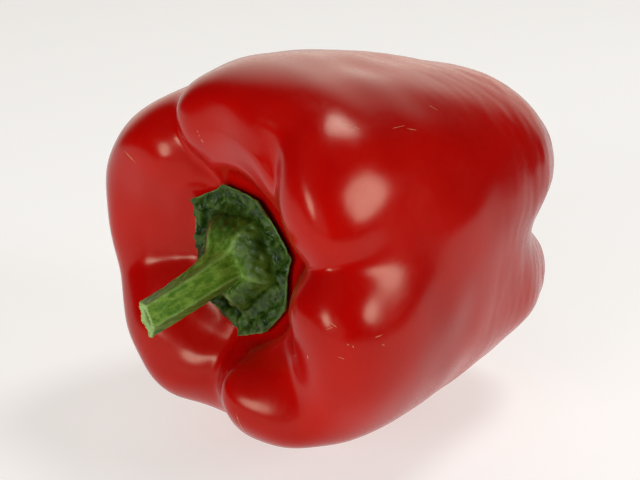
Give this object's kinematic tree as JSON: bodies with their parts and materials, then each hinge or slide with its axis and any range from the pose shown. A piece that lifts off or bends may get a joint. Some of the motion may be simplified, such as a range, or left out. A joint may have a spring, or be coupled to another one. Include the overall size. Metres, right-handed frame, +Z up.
{
  "type": "bell pepper",
  "caption": "Blocky red bell pepper lying on its side, with deep lobes, a puckered green calyx sunk in its shoulder and a short cut stem.",
  "frame": {"origin": "on the surface that the pepper lies on, under the middle of its bounding box", "axes": "+Z up, -X along the stem, +X towards the blossom end, +Y completes a right-handed frame"},
  "size_m": [0.1082, 0.0968, 0.0917],
  "materials": {
    "skin": "glossy waxy deep red skin, with fine pale scratches and specks",
    "stem": "satin mottled green calyx and ribbed yellow-green stem"
  },
  "bodies": {
    "root": {"fruit": "skin", "stem_and_calyx": "stem"}
  },
  "joints": []
}
